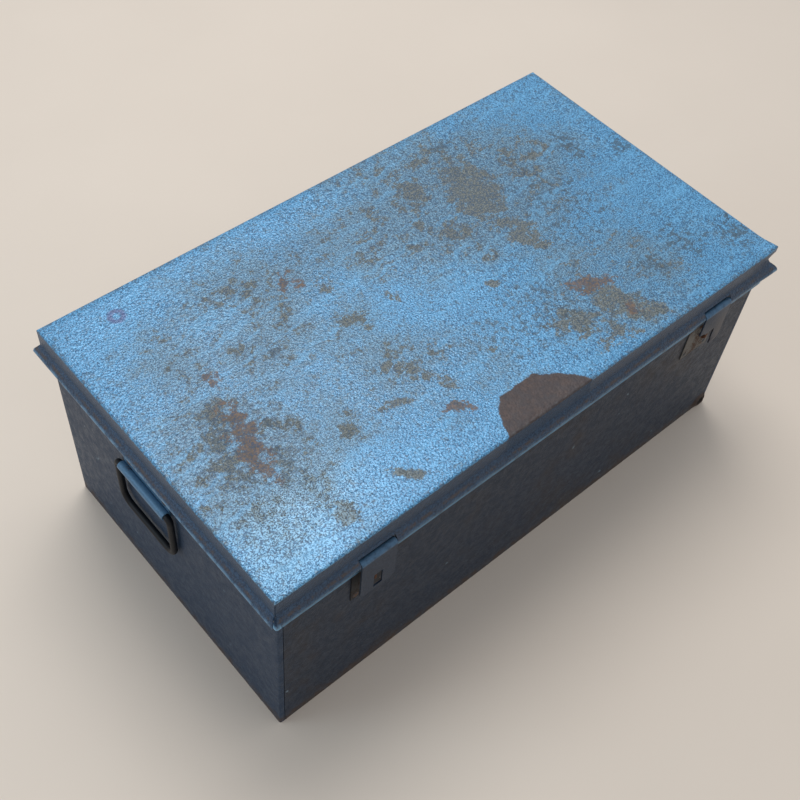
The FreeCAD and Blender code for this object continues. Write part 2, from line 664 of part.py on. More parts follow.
def front_panel():
    """The front wall, with holes for the staples and their plates' rivets."""
    panel = wall(BODY_X, BODY_Y)
    for centre in HASP_CENTRES.values():
        panel = panel.cut(staple(centre))
        panel = drill(panel, plate_rivet_spots(centre), V(0, 1, 0), 2 * SHEET)
    return panel


def rear_panel():
    """The rear wall, with holes for the hinge rivets."""
    panel = spin(wall(BODY_X, BODY_Y), 180)
    for centre in HINGE_CENTRES.values():
        panel = drill(panel, hinge_rivet_spots(centre), V(0, 1, 0), 2 * SHEET)
    return panel


def left_end():
    """The left end wall, with holes for the handle retainer's rivets."""
    return drill(spin(end_wall(), -90), retainer_rivet_spots(), V(1, 0, 0), 2 * SHEET)


def build():
    """Every node of the tool box by name."""
    nodes = {
        "body_front_panel": front_panel(),
        "body_rear_panel": rear_panel(),
        "body_left_end": left_end(),
        "body_right_end": to_right_end(left_end()),
        "body_floor_panel": floor_panel(),
        "tray_ledge_front": ledge(),
        "tray_ledge_rear": spin(ledge(), 180),
        "lid_shell": lid_shell(),
        "stay_arm": stay_arm(),
        "stay_bracket": stay_bracket(),
        "stay_pivot_rivet": stay_pivot_rivet(),
        "stay_stud": stay_stud(),
        "tray_pan": tray_pan(),
        "tray_divider_long": long_divider(),
        "tray_grip": tray_grip(),
    }
    nodes.update(lid_wires())
    for side, centre in HASP_CENTRES.items():
        nodes["hasp_strap_" + side] = hasp_strap(centre)
        nodes["staple_" + side] = staple(centre)
        nodes["staple_plate_" + side] = staple_plate(centre)
        nodes["staple_rivets_" + side] = wall_rivets(plate_rivet_spots(centre), V(0, -1, 0), PLATE_THICK)
    for side, centre in HINGE_CENTRES.items():
        nodes["hinge_leaf_" + side] = hinge_leaf(centre)
        nodes["hinge_rivets_" + side] = wall_rivets(hinge_rivet_spots(centre), V(0, 1, 0), HINGE_THICK)
    clip_rivets = wall_rivets(retainer_rivet_spots(), V(-1, 0, 0), RETAINER_WALL)
    nodes["handle_bail_left"] = bail()
    nodes["handle_bail_right"] = to_right_end(bail())
    nodes["handle_retainer_left"] = retainer()
    nodes["handle_retainer_right"] = to_right_end(retainer())
    nodes["handle_rivets_left"] = clip_rivets
    nodes["handle_rivets_right"] = to_right_end(clip_rivets)
    for place, offset in CROSS_DIVIDERS.items():
        nodes["tray_divider_" + place] = cross_divider(offset, place == "front")
    return nodes


os.makedirs("parts", exist_ok=True)
for name, shape in sorted(build().items()):
    shape.exportStep("parts/" + name + ".step")
    print(name, len(shape.Solids), shape.isValid(), round(shape.Volume))
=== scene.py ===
import math

import bmesh
import bpy
from mathutils import Matrix, Vector, noise


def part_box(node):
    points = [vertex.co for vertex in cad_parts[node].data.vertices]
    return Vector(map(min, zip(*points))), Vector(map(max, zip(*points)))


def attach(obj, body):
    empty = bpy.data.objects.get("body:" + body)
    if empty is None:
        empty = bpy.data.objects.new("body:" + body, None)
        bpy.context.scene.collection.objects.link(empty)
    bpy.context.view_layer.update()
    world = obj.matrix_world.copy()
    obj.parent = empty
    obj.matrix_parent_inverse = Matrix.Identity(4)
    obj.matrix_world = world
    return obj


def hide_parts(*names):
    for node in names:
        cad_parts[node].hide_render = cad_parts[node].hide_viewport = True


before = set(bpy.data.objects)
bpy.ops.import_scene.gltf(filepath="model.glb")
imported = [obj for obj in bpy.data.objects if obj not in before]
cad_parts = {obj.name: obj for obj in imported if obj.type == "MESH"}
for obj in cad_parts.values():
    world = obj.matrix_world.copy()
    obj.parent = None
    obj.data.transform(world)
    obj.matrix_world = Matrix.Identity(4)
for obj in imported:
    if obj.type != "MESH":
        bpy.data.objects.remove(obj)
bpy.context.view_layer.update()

# Sizes in metres
SHEET = 0.001
TOP_BEND = 0.002
FLARE_DROP = 0.022
FLARE_ANGLE = math.radians(30)
RIM_OVERHANG = 0.0064
WIRE_RADIUS = 0.0024
CURL_RADIUS = 0.00345
CURL_END_ANGLE = math.radians(-160)
CURL_ROWS = 10
NOTCH_SIDE_GAP = 0.0008
NOTCH_RISE = 0.0075
LID_SEAM = 0.0006
RIM_SEAM = 0.0012
OPEN_LID_SEAM = 0.0016
OPEN_RIM_SEAM = 0.0050
LID_GRID = 0.008
WALL_GRID = 0.011
FINE_HEIGHT = 0.026
LID_SEAT_GAP = 0.0006
SWAGE_DROP = 0.017
SWAGE_HALF = 0.0065
SWAGE_PROUD = 0.0042
SWAGE_ROWS = 10
HEM_DEPTH = 0.010
CORNER_RADIUS = 0.0022
CORNER_LAP = 0.0035
CORNER_LAP_GAP = 0.0007
WALL_ROWS = 16
FINE_ROWS = 12
FINE_STEP = 0.0022
WIRE_SIDES = 16
EDGE_ROUND = 0.0002
STRAP_EDGE_ROUND = 0.0003
JOIN_DISTANCE = 0.00001
SHARP_ANGLE = math.radians(35)
WIRE_SHARP_ANGLE = math.radians(40)

# Damage, in metres
LID_SAG = 0.0010
LID_RIPPLE = 0.0007
CORNER_REACH = 0.030
CORNER_RISE = 0.0035
WALL_HOLLOW = 0.0008
CRUSHED_RADIUS = 0.0075
CRUSHED_HALF_WIDTH = 0.0045
CRUSHED_RISE = 0.0024

# The camera's viewpoint and directions
CAMERA_PLACE = (-0.5960, -0.5505, 1.1298)
CAMERA_FORWARD = Vector((0.44027, 0.42279, -0.79210))
CAMERA_UP = Vector((0.48926, 0.62675, 0.60648))
CAMERA_LENS = 52.46
CAMERA_SENSOR = 36.0

# Colours
WALL_BLUE = ((0.009, 0.026, 0.060), (0.024, 0.056, 0.108))

# Sizes read from the frame
lid_low, lid_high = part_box("lid_shell")
floor_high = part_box("body_floor_panel")[1]
wire_low, wire_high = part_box("lid_wire_front")
HEIGHT = lid_high.z
LID_X = lid_high.x - RIM_OVERHANG
LID_Y = lid_high.y - RIM_OVERHANG
BODY_X = floor_high.x + SHEET
BODY_Y = floor_high.y + SHEET
WIRE_Z = (wire_low.z + wire_high.z) / 2
WIRE_OUT = -(wire_low.y + wire_high.y) / 2 - LID_Y
FLARE_Z = HEIGHT - FLARE_DROP
NOTCH_TOP = WIRE_Z + NOTCH_RISE
WALL_TOP = HEIGHT - SHEET - LID_SEAT_GAP
SWAGE_Z = lid_low.z - SWAGE_DROP
BEAD_Z = SWAGE_Z + 0.0005
CREASE_Z = WIRE_Z + 0.0048

# The torn part of the right hasp's strap: points across from its middle and up from its end
TORN_LINE = (
    (-0.024, 0.0300),
    (-0.014, 0.0285),
    (-0.009, 0.0250),
    (-0.002, 0.0265),
    (0.0035, 0.0230),
    (0.0020, 0.0140),
    (0.0068, 0.0080),
    (0.0058, -0.0040),
    (-0.024, -0.0040),
)

# The middle of the crushed spot near the front right bottom corner
CRUSHED = Vector((BODY_X - 0.0120, -BODY_Y, 0.0105))

PIVOT_NODES = ("hasp_strap_left", "hasp_strap_right", "hinge_leaf_left", "hinge_leaf_right")
PIVOT_BOXES = [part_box(node) for node in PIVOT_NODES]

# The four sides as (direction along the side, direction outward), so that along x up = outward
SIDES = {
    "front": (Vector((1, 0, 0)), Vector((0, -1, 0))),
    "right": (Vector((0, 1, 0)), Vector((1, 0, 0))),
    "rear": (Vector((-1, 0, 0)), Vector((0, 1, 0))),
    "left": (Vector((0, -1, 0)), Vector((-1, 0, 0))),
}


def add_object(name, data):
    """A new object in the scene."""
    piece = bpy.data.objects.new(name, data)
    bpy.context.scene.collection.objects.link(piece)
    return piece


# ---------------------------------------------------------------- camera, light and floor

def make_camera():
    """The photograph's viewpoint."""
    data = bpy.data.cameras.new("camera")
    data.lens = CAMERA_LENS
    data.sensor_width = CAMERA_SENSOR
    camera = add_object("camera", data)
    right = CAMERA_FORWARD.cross(CAMERA_UP)
    turn = Matrix((right, CAMERA_UP, -CAMERA_FORWARD)).transposed()
    camera.matrix_world = Matrix.Translation(CAMERA_PLACE) @ turn.to_4x4()
    bpy.context.scene.camera = camera


def area_light(name, place, target, size, watts, colour):
    """A square soft light aimed at a point."""
    data = bpy.data.lights.new(name, "AREA")
    data.shape = "SQUARE"
    data.size = size
    data.energy = watts
    data.color = colour
    light = add_object(name, data)
    light.location = place
    light.rotation_mode = "QUATERNION"
    light.rotation_quaternion = (Vector(target) - Vector(place)).to_track_quat("-Z", "Y")


def make_lights():
    """Soft light from above and behind, with weak fill from the left."""
    world = bpy.data.worlds.new("studio")
    world.use_nodes = True
    background = world.node_tree.nodes["Background"]
    background.inputs["Color"].default_value = (0.93, 0.96, 1.0, 1.0)
    background.inputs["Strength"].default_value = 0.66
    bpy.context.scene.world = world
    area_light("key", (0.36, 0.78, 2.35), (0.0, 0.0, 0.2), 1.35, 31.5, (1.0, 0.98, 0.95))
    area_light("left_fill", (-2.0, 1.0, 1.5), (-0.3, 0.1, 0.15), 0.9, 8.0, (0.62, 0.84, 1.0))


def make_floor():
    """A plain pale floor."""
    mesh = bpy.data.meshes.new("floor")
    half = 40.0
    just_below = -0.0002
    corners = [(-half, -half, 0), (half, -half, 0), (half, half, 0), (-half, half, 0)]
    mesh.from_pydata(corners, [], [(0, 1, 2, 3)])
    floor = add_object("floor", mesh)
    floor.location.z = just_below
    tree = Tree("floor")
    grain = tree.noise(tree.coords(), 3.0, 4.0)
    tree.colour(tree.mix(grain, (0.610, 0.535, 0.460), (0.670, 0.590, 0.510)))
    tree.put("Roughness", 0.55)
    mesh.materials.append(tree.material)


# ---------------------------------------------------------------- material helpers

class Tree:
    """A material's node tree, with a short call for each kind of node that is used."""

    def __init__(self, name):
        self.material = bpy.data.materials.new(name)
        self.material.use_nodes = True
        self.nodes = self.material.node_tree.nodes
        self.links = self.material.node_tree.links
        self.shader = self.nodes["Principled BSDF"]

    def feed(self, socket, value):
        """Links an output to a socket, or sets its value."""
        if isinstance(value, bpy.types.NodeSocket):
            self.links.new(value, socket)
        elif socket.type == "RGBA" and len(value) == 3:
            socket.default_value = (*value, 1.0)
        else:
            socket.default_value = value

    def put(self, name, value):
        """Sets one of the shader's inputs."""
        self.feed(self.shader.inputs[name], value)

    def colour(self, value):
        """Sets the base colour."""
        self.put("Base Color", value)

    def coords(self):
        """The point on the object at rest, in metres."""
        return self.nodes.new("ShaderNodeTexCoord").outputs["Object"]

    def axis(self, vector, name):
        """One of a vector's components."""
        node = self.nodes.new("ShaderNodeSeparateXYZ")
        self.feed(node.inputs[0], vector)
        return node.outputs[name]

    def sum_node(self, operation, a, b=0.0):
        """A sum on one or two numbers."""
        node = self.nodes.new("ShaderNodeMath")
        node.operation = operation
        self.feed(node.inputs[0], a)
        self.feed(node.inputs[1], b)
        return node.outputs[0]

    def plus(self, a, b):
        """Two numbers added."""
        return self.sum_node("ADD", a, b)

    def minus(self, a, b):
        """One number less another."""
        return self.sum_node("SUBTRACT", a, b)

    def times(self, a, b):
        """Two numbers multiplied."""
        return self.sum_node("MULTIPLY", a, b)

    def most(self, a, b):
        """The larger of two numbers."""
        return self.sum_node("MAXIMUM", a, b)

    def least(self, a, b):
        """The smaller of two numbers."""
        return self.sum_node("MINIMUM", a, b)

    def gap(self, a, b):
        """How far apart two numbers are."""
        return self.sum_node("ABSOLUTE", self.minus(a, b))

    def vector(self, operation, a, b):
        """A sum on two vectors."""
        node = self.nodes.new("ShaderNodeVectorMath")
        node.operation = operation
        self.feed(node.inputs[0], a)
        self.feed(node.inputs[1], b)
        return node.outputs["Value"] if operation == "LENGTH" else node.outputs["Vector"]

    def place(self, vector, centre, size, turn):
        """Coordinates moved to a centre, turned and divided by a size."""
        node = self.nodes.new("ShaderNodeMapping")
        node.vector_type = "TEXTURE"
        self.feed(node.inputs["Vector"], vector)
        node.inputs["Location"].default_value = centre
        node.inputs["Rotation"].default_value = (0.0, 0.0, turn)
        node.inputs["Scale"].default_value = size
        return node.outputs["Vector"]

    def noise(self, vector, scale, detail, roughness=0.5):
        """Cloudy noise from 0 to 1."""
        node = self.nodes.new("ShaderNodeTexNoise")
        self.feed(node.inputs["Vector"], vector)
        node.inputs["Scale"].default_value = scale
        node.inputs["Detail"].default_value = detail
        node.inputs["Roughness"].default_value = roughness
        return node.outputs["Fac"]

    def cells(self, vector, scale):
        """Distance to the nearest of scattered points, for hammered dimples."""
        node = self.nodes.new("ShaderNodeTexVoronoi")
        node.feature = "SMOOTH_F1"
        self.feed(node.inputs["Vector"], vector)
        node.inputs["Scale"].default_value = scale
        node.inputs["Smoothness"].default_value = 0.6
        return node.outputs["Distance"]

    def ramp(self, value, low, high, to_low=0.0, to_high=1.0):
        """A number stretched from one range to another, held at both ends."""
        node = self.nodes.new("ShaderNodeMapRange")
        node.interpolation_type = "SMOOTHSTEP"
        self.feed(node.inputs["Value"], value)
        node.inputs["From Min"].default_value = low
        node.inputs["From Max"].default_value = high
        node.inputs["To Min"].default_value = to_low
        node.inputs["To Max"].default_value = to_high
        return node.outputs["Result"]

    def mix(self, factor, a, b):
        """A colour between two."""
        node = self.nodes.new("ShaderNodeMix")
        node.data_type = "RGBA"
        self.feed(node.inputs[0], factor)
        self.feed(node.inputs[6], a)
        self.feed(node.inputs[7], b)
        return node.outputs[2]

    def bump(self, height, distance, strength):
        """Adds relief to the shader's normal."""
        node = self.nodes.new("ShaderNodeBump")
        self.feed(node.inputs["Height"], height)
        node.inputs["Distance"].default_value = distance
        node.inputs["Strength"].default_value = strength
        self.put("Normal", node.outputs["Normal"])


def rough_coords(tree, coords, amount, scale):
    """Coordinates pushed about by noise, so that shapes drawn in them have ragged edges."""
    node = tree.nodes.new("ShaderNodeTexNoise")
    tree.feed(node.inputs["Vector"], coords)
    node.inputs["Scale"].default_value = scale
    node.inputs["Detail"].default_value = 5.0
    shift = tree.vector("SUBTRACT", node.outputs["Color"], (0.5, 0.5, 0.5))
    shift = tree.vector("MULTIPLY", shift, (amount, amount, amount))
    return tree.vector("ADD", coords, shift)


def spot(tree, coords, x, y, long, wide, degrees, strength):
    """An ellipse on the lid, as strong as its strength in its middle and 0 outside."""
    local = tree.place(coords, (x, y, HEIGHT), (long, wide, 1.0), math.radians(degrees))
    return tree.ramp(tree.vector("LENGTH", local, (0, 0, 0)), 0.25, 1.45, strength, 0.0)


def marks(tree, coords, table):
    """All of a table's ellipses, with the strongest on top."""
    result = spot(tree, coords, *table[0])
    for row in table[1:]:
        result = tree.most(result, spot(tree, coords, *row))
    return result


# ---------------------------------------------------------------- materials

# Marks on the lid: centre x and y, half length, half width in metres, turn in degrees, strength
OLIVE_STAINS = (
    (0.136, 0.076, 0.060, 0.042, 65, 1.05),
    (0.077, 0.116, 0.028, 0.024, -61, 1.00),
    (0.077, 0.039, 0.024, 0.015, -33, 0.95),
    (0.134, 0.000, 0.044, 0.026, -77, 1.00),
    (0.205, 0.060, 0.022, 0.016, -51, 0.60),
    (0.055, -0.036, 0.012, 0.008, -42, 0.85),
    (0.148, -0.142, 0.060, 0.024, -66, 1.00),
    (0.088, -0.128, 0.046, 0.028, -41, 0.85),
    (0.108, -0.165, 0.038, 0.016, 0, 0.80),
    (-0.003, -0.096, 0.011, 0.008, -50, 0.85),
    (-0.036, 0.012, 0.011, 0.010, 10, 0.85),
    (-0.046, -0.065, 0.014, 0.013, 49, 0.80),
    (-0.070, -0.044, 0.012, 0.009, -79, 0.85),
    (-0.072, -0.094, 0.021, 0.012, -51, 0.80),
    (-0.083, 0.068, 0.020, 0.016, -74, 0.80),
    (-0.086, 0.009, 0.025, 0.014, -14, 0.75),
    (-0.089, -0.068, 0.017, 0.015, -54, 0.75),
    (-0.102, -0.052, 0.014, 0.010, 14, 0.80),
    (-0.120, -0.093, 0.022, 0.009, -25, 0.85),
    (-0.166, -0.157, 0.024, 0.008, -50, 0.75),
    (-0.175, -0.087, 0.024, 0.012, -83, 0.75),
    (-0.182, 0.112, 0.020, 0.012, -38, 0.85),
    (-0.236, -0.077, 0.022, 0.017, 68, 0.80),
    (-0.238, -0.150, 0.028, 0.013, -57, 0.80),
    (-0.268, -0.010, 0.052, 0.028, 65, 0.75),
    (-0.279, -0.045, 0.060, 0.034, 79, 0.82),
)
RUST_STAINS = (
    (-0.256, -0.040, 0.058, 0.019, 82, 0.88),
    (-0.261, -0.078, 0.024, 0.010, 86, 0.88),
    (-0.239, 0.038, 0.014, 0.008, -84, 0.90),
    (-0.107, 0.091, 0.020, 0.015, 75, 0.80),
    (-0.079, -0.130, 0.020, 0.011, -29, 1.00),
    (0.137, -0.099, 0.036, 0.014, -22, 0.95),
    (0.150, -0.148, 0.018, 0.010, -66, 0.82),
)
DARK_STAINS = (
    (-0.176, 0.027, 0.010, 0.006, 78, 1.10),
    (0.321, 0.029, 0.014, 0.012, 88, 0.85),
    (0.275, 0.065, 0.032, 0.014, 87, 0.70),
    (0.264, -0.117, 0.034, 0.028, -74, 0.60),
    (0.318, -0.139, 0.030, 0.022, 62, 0.60),
    (0.213, -0.119, 0.026, 0.016, -68, 0.60),
    (0.155, 0.153, 0.022, 0.010, 8, 0.70),
    (0.194, 0.003, 0.085, 0.065, 73, 0.42),
    (0.060, -0.090, 0.110, 0.060, 0, 0.38),
    (-0.250, -0.060, 0.090, 0.060, 75, 0.45),
)
GREY_ZONES = (
    (-0.180, 0.060, 0.150, 0.120, 20, 0.72),
    (0.110, 0.080, 0.190, 0.120, -10, 0.95),
    (-0.120, -0.060, 0.150, 0.070, -20, 0.60),
    (0.170, -0.100, 0.120, 0.090, -10, 0.62),
    (-0.265, -0.050, 0.120, 0.080, -75, 0.95),
)
# A painted glare: pale blue speckle where the light's reflection falls near the lid's front left corner,
# given as an ellipse like the marks above
PAINTED_GLARE_SPOT = (-0.300, -0.150, 0.110, 0.060, 15, 0.36)

# The violet ring mark: centre x and y, radius
RING_STAIN = (-0.267, 0.155, 0.0088)

# Length and width of the streaks where the lid has been wiped
WIPE_SIZE = (0.120, 0.009, 1.0)

# The bare patch at the lid's front edge, anticlockwise
MAROON_CORNERS = [
    (-0.070, -0.190),
    (0.048, -0.190),
    (0.036, -0.170),
    (0.003, -0.145),
    (-0.042, -0.146),
    (-0.057, -0.163),
]


def hammered(tree, coords):
    """The fine speckle and the dimples of hammered enamel: (speckle from 0 to 1, height)."""
    fine = tree.noise(coords, 720.0, 2.0, 0.6)
    dimple = tree.cells(coords, 420.0)
    speckle = tree.ramp(tree.minus(fine, tree.times(dimple, 0.08)), 0.36, 0.54)
    height = tree.plus(dimple, tree.times(fine, 0.5))
    return speckle, height


class LidGrain:
    """The noises and zones that the lid's paint is made from."""

    def __init__(self, tree):
        coords = tree.coords()
        pushed = rough_coords(tree, coords, 0.030, 38.0)
        streaks = tree.place(pushed, (0.0, 0.0, 0.0), WIPE_SIZE, math.radians(6))
        self.coords = coords
        self.pushed = pushed
        self.speckle, self.height = hammered(tree, coords)
        self.clouds = tree.noise(coords, 16.0, 5.0, 0.6)
        self.fleck = tree.ramp(tree.noise(coords, 240.0, 4.0, 0.7), 0.32, 0.68)
        self.coarse = tree.ramp(tree.noise(coords, 70.0, 8.0, 0.72), 0.36, 0.64)
        self.fine = tree.ramp(tree.noise(coords, 150.0, 6.0, 0.75), 0.36, 0.64)
        self.blotches = tree.plus(tree.times(self.coarse, 0.62), tree.times(self.fleck, 0.38))
        self.zones = marks(tree, pushed, GREY_ZONES)
        self.wiped = tree.ramp(tree.noise(streaks, 1.0, 3.0, 0.6), 0.52, 0.68)


def lid_blue(tree, grain):
    """Blue enamel, dulled to grey in its zones and wiped bright in streaks."""
    blue = tree.mix(grain.speckle, (0.022, 0.112, 0.235), (0.116, 0.352, 0.605))
    pale = tree.mix(grain.speckle, (0.042, 0.094, 0.148), (0.142, 0.290, 0.425))
    dulled = tree.plus(tree.plus(tree.times(grain.zones, 0.62), grain.clouds), tree.times(grain.fine, 0.22))
    colour = tree.mix(tree.ramp(dulled, 0.62, 1.10), blue, pale)
    return tree.mix(tree.times(grain.wiped, 0.40), colour, (0.110, 0.345, 0.590))


def olive_mask(tree, grain):
    """Where the enamel is worn or dirty: in the olive stains, and thinly over the grey zones."""
    dirt = tree.ramp(grain.zones, 0.0, 0.9, 0.14, 0.68)
    dirt = tree.times(dirt, tree.ramp(grain.clouds, 0.35, 0.65, 0.55, 1.0))
    dirt = tree.times(dirt, tree.ramp(grain.wiped, 0.0, 1.0, 1.0, 0.45))
    stains = marks(tree, grain.pushed, OLIVE_STAINS)
    return broken(tree, tree.most(stains, dirt), grain.blotches, 1.32)


def dark_mask(tree, grain):
    """The dark stains, and dark flecks all over the lid."""
    stains = marks(tree, grain.pushed, DARK_STAINS)
    return broken(tree, tree.most(stains, 0.16), grain.fine, 1.22)


def ring_mask(tree, coords):
    """The thin ring left by something round."""
    x, y, radius = RING_STAIN
    local = tree.place(coords, (x, y, HEIGHT), (radius, radius, 1.0), 0.0)
    return tree.ramp(tree.gap(tree.vector("LENGTH", local, (0, 0, 0)), 0.75), 0.10, 0.50, 0.70, 0.0)


def pepper_mask(tree, grain):
    """Dark pinholes in the enamel, more of them in the grey zones."""
    pepper = tree.minus(tree.noise(grain.coords, 400.0, 4.0, 0.8), tree.times(grain.zones, 0.07))
    return tree.ramp(pepper, 0.36, 0.47, 1.0, 0.0)


def bare_colour(tree, grain):
    """Maroon oxide and grey metal, where the enamel has come away."""
    maroon = tree.mix(grain.fleck, (0.044, 0.032, 0.032), (0.082, 0.056, 0.050))
    return tree.mix(tree.times(grain.coarse, 0.6), maroon, (0.042, 0.040, 0.048))


def lid_side_colour(tree, grain, from_end):
    """The skirt and curled edge: slate, bluer at the ends (partly painted light on those sides), with a
    painted highlight along the curl, stronger at the ends, and a rusty crease.
    """
    up = tree.axis(grain.coords, "Z")
    at_end = tree.ramp(from_end, 0.0005, 0.0015, 1.0, 0.0)
    side = side_colour(tree, grain.coords, grain.speckle, grain.fleck, 0.30)
    end_blue = tree.mix(grain.speckle, (0.012, 0.034, 0.074), (0.034, 0.084, 0.160))
    # Bluer at the ends than at the front and rear: partly the enamel's own blue, partly painted light on
    # the ends
    side = tree.mix(tree.ramp(at_end, 0.0, 1.0, 0.65, 0.85), side, end_blue)
    # Painted highlight along the top of the curl, broken up by noise, stronger at the ends than at the
    # front and rear
    rim_highlight = tree.ramp(up, WIRE_Z + 0.0008, WIRE_Z + 0.0036, 1.0, 0.0)
    rim_highlight = tree.times(rim_highlight, tree.ramp(grain.coarse, 0.15, 0.70, 0.20, 1.0))
    rim_highlight = tree.times(rim_highlight, tree.ramp(at_end, 0.0, 1.0, 0.30, 0.90))
    side = tree.mix(rim_highlight, side, (0.130, 0.270, 0.420))
    crease = tree.ramp(tree.gap(up, CREASE_Z), 0.0004, 0.0022, 1.0, 0.0)
    crease = tree.times(crease, tree.ramp(grain.coarse, 0.30, 0.80, 0.15, 0.70))
    return tree.mix(crease, side, (0.075, 0.050, 0.036))


def lid_top_paint():
    """Bright hammered blue enamel, worn and stained on top, with a painted glare near the front left
    corner, and dark round the sides.
    """
    tree = Tree("lid_top_paint")
    grain = LidGrain(tree)
    coords = grain.coords

    olive = olive_mask(tree, grain)
    olive_colour = tree.mix(grain.speckle, (0.060, 0.068, 0.060), (0.168, 0.168, 0.140))
    colour = tree.mix(tree.times(olive, 0.88), lid_blue(tree, grain), olive_colour)
    colour = tree.mix(tree.times(dark_mask(tree, grain), 0.66), colour, (0.036, 0.058, 0.075))
    rust = broken(tree, marks(tree, grain.pushed, RUST_STAINS), grain.blotches, 1.28)
    rust_colour = tree.mix(grain.fleck, (0.074, 0.062, 0.054), (0.170, 0.108, 0.074))
    colour = tree.mix(tree.times(rust, 0.88), colour, rust_colour)
    colour = tree.mix(ring_mask(tree, coords), colour, (0.060, 0.055, 0.170))
    colour = tree.mix(tree.times(pepper_mask(tree, grain), 0.66), colour, (0.010, 0.052, 0.120))
    # Painted glare near the front left corner, where the light's reflection falls
    bright = tree.times(spot(tree, coords, *PAINTED_GLARE_SPOT), tree.ramp(grain.speckle, 0.55, 0.95))
    colour = tree.mix(bright, colour, (0.360, 0.660, 0.900))
    patch = patch_mask(tree, rough_coords(tree, coords, 0.008, 120.0))
    colour = tree.mix(patch, colour, bare_colour(tree, grain))

    # How far in from the lid's ends, and from its front or rear
    from_end = tree.minus(LID_X, tree.gap(tree.axis(coords, "X"), 0.0))
    from_front = tree.minus(LID_Y, tree.gap(tree.axis(coords, "Y"), 0.0))
    worn = tree.ramp(tree.least(from_end, from_front), 0.0010, 0.0060, 1.0, 0.0)
    worn = tree.times(worn, tree.ramp(grain.fleck, 0.50, 0.80))
    colour = tree.mix(tree.times(worn, 0.55), colour, (0.070, 0.074, 0.080))
    skirt = tree.ramp(tree.axis(coords, "Z"), HEIGHT - 0.0030, HEIGHT - 0.0012, 1.0, 0.0)
    tree.colour(tree.mix(skirt, colour, lid_side_colour(tree, grain, from_end)))

    matt = tree.most(tree.most(olive, rust), patch)
    tree.put("Roughness", tree.plus(tree.ramp(grain.clouds, 0.3, 0.7, 0.30, 0.40), tree.times(matt, 0.25)))
    tree.put("Metallic", 0.15)
    tree.bump(grain.height, 0.0006, 0.75)
    return tree.material


def broken(tree, density, grain, full):
    """A mask that covers more of the grain's flecks where the density is higher."""
    return tree.ramp(tree.plus(density, grain), 1.00, full)


def patch_mask(tree, coords):
    """The bare patch at the front edge: 1 inside its corners and 0 outside."""
    inside = None
    for (x0, y0), (x1, y1) in zip(MAROON_CORNERS, MAROON_CORNERS[1:] + MAROON_CORNERS[:1]):
        length = math.hypot(x1 - x0, y1 - y0)
        inward = ((y0 - y1) / length, (x1 - x0) / length, 0.0)
        shift = tree.vector("MULTIPLY", tree.vector("SUBTRACT", coords, (x0, y0, 0.0)), inward)
        depth = tree.plus(tree.axis(shift, "X"), tree.axis(shift, "Y"))
        inside = depth if inside is None else tree.least(inside, depth)
    return tree.ramp(inside, -0.0008, 0.0012)


def side_colour(tree, coords, speckle, fleck, rust_share):
    """Dark slate enamel, dirty and touched with rust."""
    clouds = tree.noise(coords, 14.0, 6.0, 0.65)
    slate = tree.mix(speckle, (0.008, 0.013, 0.024), (0.026, 0.038, 0.060))
    brown = tree.mix(fleck, (0.020, 0.017, 0.016), (0.050, 0.036, 0.029))
    dirt = tree.plus(clouds, tree.times(fleck, 0.35))
    return tree.mix(tree.ramp(dirt, 0.84 - 0.25 * rust_share, 1.04 - 0.15 * rust_share), slate, brown)


def body_paint(name, rust_share, blue, bead_highlight_strength):
    """A wall's dark enamel; blue says how far the wall is from slate towards blue, and
    bead_highlight_strength how strong the painted highlight along its swage is.
    """
    tree = Tree(name)
    coords = tree.coords()
    speckle, height = hammered(tree, coords)
    fleck = tree.noise(coords, 120.0, 5.0, 0.7)
    colour = side_colour(tree, coords, speckle, fleck, rust_share)
    colour = tree.mix(blue, colour, tree.mix(speckle, *WALL_BLUE))
    up = tree.axis(coords, "Z")
    # Painted highlight along the swage: the light its top catches is painted on its lower, visible half,
    # which the lid's edge leaves in view
    painted_bead_highlight = tree.ramp(tree.gap(up, BEAD_Z), 0.0012, 0.0040, 1.0, 0.0)
    painted_bead_highlight = tree.times(painted_bead_highlight, tree.ramp(fleck, 0.30, 0.55, 0.40, 1.0))
    colour = tree.mix(tree.times(painted_bead_highlight, bead_highlight_strength), colour, (0.190, 0.400, 0.600))
    low = tree.plus(tree.ramp(up, 0.002, 0.040, 0.50, 0.0), tree.times(fleck, 0.8))
    colour = tree.mix(tree.ramp(low, 0.74, 1.05), colour, (0.075, 0.046, 0.032))
    crushed = tree.vector("LENGTH", tree.vector("SUBTRACT", coords, CRUSHED), (0, 0, 0))
    colour = tree.mix(tree.ramp(crushed, 0.0100, 0.0150, 0.75, 0.0), colour, (0.060, 0.036, 0.024))
    # Near-black middle of the crushed spot: painted shade where the dark inside of a rusted-through hole
    # would show; the wall itself is whole there
    colour = tree.mix(tree.ramp(crushed, 0.0050, 0.0068, 0.97, 0.0), colour, (0.003, 0.003, 0.003))
    chips = tree.ramp(tree.noise(coords, 55.0, 3.0, 0.5), 0.715, 0.735)
    colour = tree.mix(tree.times(chips, 0.8), colour, (0.170, 0.240, 0.300))
    tree.colour(colour)
    tree.put("Roughness", tree.ramp(fleck, 0.3, 0.7, 0.40, 0.60))
    tree.put("Metallic", 0.1)
    tree.put("Specular IOR Level", 0.28)
    tree.bump(height, 0.0005, 0.45)
    return tree.material


